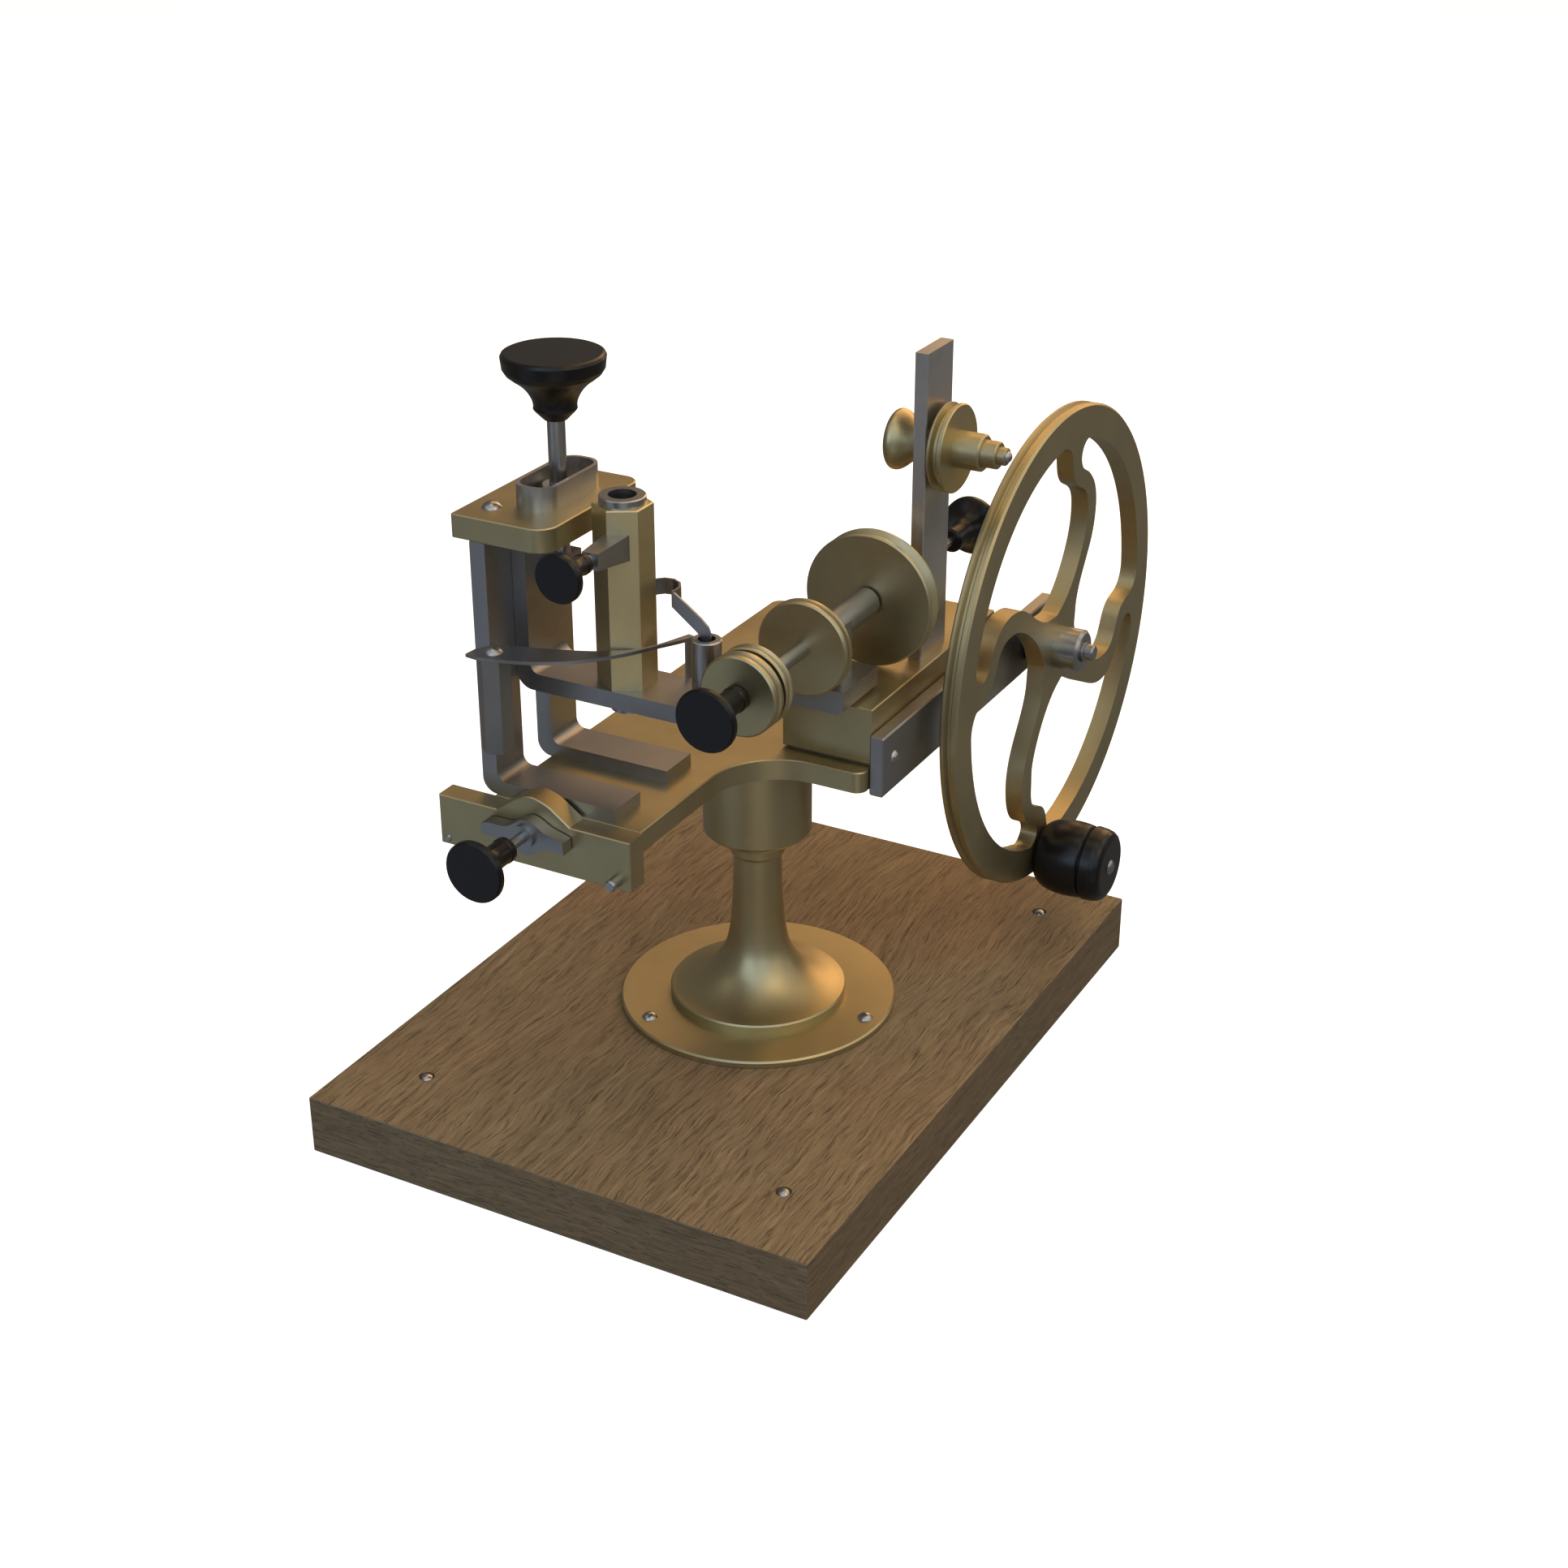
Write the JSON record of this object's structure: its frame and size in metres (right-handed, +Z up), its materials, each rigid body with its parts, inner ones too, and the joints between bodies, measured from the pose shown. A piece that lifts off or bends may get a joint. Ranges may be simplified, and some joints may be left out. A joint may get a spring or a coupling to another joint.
{
  "type": "faceting machine",
  "caption": "Hand-cranked bench faceting machine: spoked flywheel, stepped belt pulleys and a vertical work slide on a brass table and pedestal, on a wooden board.",
  "frame": {"origin": "centre of the wooden board's underside", "axes": "+Z up, +X to the right along the board's short front edge (the flywheel's side), +Y to the back"},
  "size_m": [0.2265, 0.3772, 0.3114],
  "materials": {
    "wood_board": "satin, open grain",
    "brass": "satin, fine brushed",
    "steel": "satin, fine brushed",
    "bright_steel": "polished turned",
    "screw_steel": "semi-polished",
    "black_knob": "polished"
  },
  "bodies": {
    "base": {"base_board": "wood_board", "base_screws": "screw_steel", "foot_flange": "brass", "flange_screws": "screw_steel", "column": "brass", "table_hub": "brass", "table_plate": "brass", "front_bar": "brass", "bar_pins": "screw_steel", "bracket_front": "steel", "bracket_rear": "steel", "bracket_screws": "screw_steel", "top_plate": "brass", "plate_screws": "screw_steel", "guide_ring": "steel", "shaft_bush": "steel", "slide_block": "brass", "block_shim": "steel", "bearing_block": "steel", "axle_bar": "steel", "bar_screws": "screw_steel", "axle_stud": "bright_steel", "axle_screw": "screw_steel", "post": "steel", "idler_stud": "bright_steel", "idler_washer": "steel"},
    "wheel": {"flywheel": "brass", "wheel_boss": "bright_steel", "crank_pin": "bright_steel", "crank_rivet": "screw_steel"},
    "handle": {"crank_handle": "black_knob", "crank_cap": "black_knob"},
    "idler": {"idler_pulley": "brass"},
    "idler_nut": {"idler_knob": "brass"},
    "post_lock": {"lock_stud": "bright_steel", "lock_knob": "black_knob"},
    "spindle": {"spindle_shaft": "bright_steel", "big_pulley": "brass", "medium_pulley": "brass", "small_rear_pulley": "brass", "small_front_pulley": "brass", "spindle_knob": "black_knob"},
    "slide": {"slide_bracket": "steel", "slide_lug": "steel", "hex_sleeve": "brass", "clamp_block": "steel", "blade": "steel", "blade_screw": "screw_steel", "hanging_rod": "steel", "blade_stay": "steel", "tool_tube": "bright_steel", "leaf_spring": "steel", "press_shaft": "bright_steel", "press_knob": "black_knob"},
    "quill": {"quill": "bright_steel"},
    "sleeve_clamp": {"clamp_stud": "bright_steel", "clamp_knob": "black_knob"},
    "feed_screw": {"feed_shaft": "bright_steel", "feed_knob": "black_knob"},
    "wing": {"wing_nut": "steel"}
  },
  "joints": [
    {"name": "flywheel_spin", "type": "hinge", "parent": "base", "child": "wheel", "pos_m": [0.0794, 0.1249, 0.1513], "axis": [1, 0, 0], "continuous": true},
    {"name": "handle_spin", "type": "hinge", "parent": "wheel", "child": "handle", "pos_m": [0.0944, 0.1173, 0.0576], "axis": [1, 0, 0], "continuous": true},
    {"name": "idler_spin", "type": "hinge", "parent": "base", "child": "idler", "pos_m": [0.066, 0.0473, 0.2593], "axis": [1, 0, 0], "continuous": true},
    {"name": "idler_nut_turn", "type": "hinge", "parent": "base", "child": "idler_nut", "pos_m": [0.0475, 0.0473, 0.2593], "axis": [-1, 0, 0], "range_deg": [0, 360]},
    {"name": "post_lock_turn", "type": "hinge", "parent": "base", "child": "post_lock", "pos_m": [0.05775, 0.07, 0.2135], "axis": [0, 1, 0], "range_deg": [0, 360]},
    {"name": "spindle_spin", "type": "hinge", "parent": "base", "child": "spindle", "pos_m": [0.0451, 0, 0.2025], "axis": [0, 1, 0], "continuous": true},
    {"name": "slide_press", "type": "slide", "parent": "base", "child": "slide", "axis": [0, 0, 1], "range_m": [-0.014, 0]},
    {"name": "quill_slide", "type": "slide", "parent": "slide", "child": "quill", "axis": [0, 0, 1], "range_m": [0, 0.012]},
    {"name": "sleeve_clamp_turn", "type": "hinge", "parent": "slide", "child": "sleeve_clamp", "pos_m": [-0.0028, -0.1, 0.2516], "axis": [0, -1, 0], "range_deg": [0, 360]},
    {"name": "feed_screw_turn", "type": "hinge", "parent": "base", "child": "feed_screw", "pos_m": [-0.0252, -0.12, 0.1456], "axis": [0, -1, 0], "range_deg": [-360, 360]},
    {"name": "wing_nut_turn", "type": "hinge", "parent": "feed_screw", "child": "wing", "pos_m": [-0.0252, -0.1135, 0.1456], "axis": [0, -1, 0], "range_deg": [0, 180]}
  ]
}
